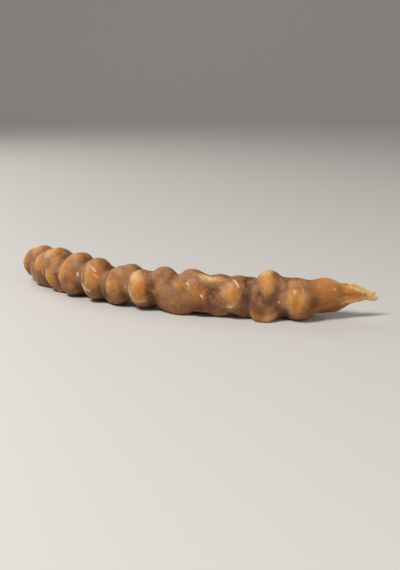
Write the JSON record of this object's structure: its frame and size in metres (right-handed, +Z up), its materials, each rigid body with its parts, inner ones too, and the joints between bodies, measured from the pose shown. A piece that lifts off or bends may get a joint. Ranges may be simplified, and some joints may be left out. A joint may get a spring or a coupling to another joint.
{
  "type": "churchkhela",
  "caption": "Whole churchkhela strand lying in a gentle curl, dried must skin bulging over the walnuts, torn flat tongue at one end.",
  "frame": {"origin": "on the table, under the middle of the strand's bounding box", "axes": "+X along the strand towards the torn end, -Y the outer side of the curl, +Z up"},
  "size_m": [0.2626, 0.129, 0.032],
  "materials": {
    "dried_must": "satin"
  },
  "bodies": {
    "root": {"churchkhela": "dried_must"}
  },
  "joints": []
}
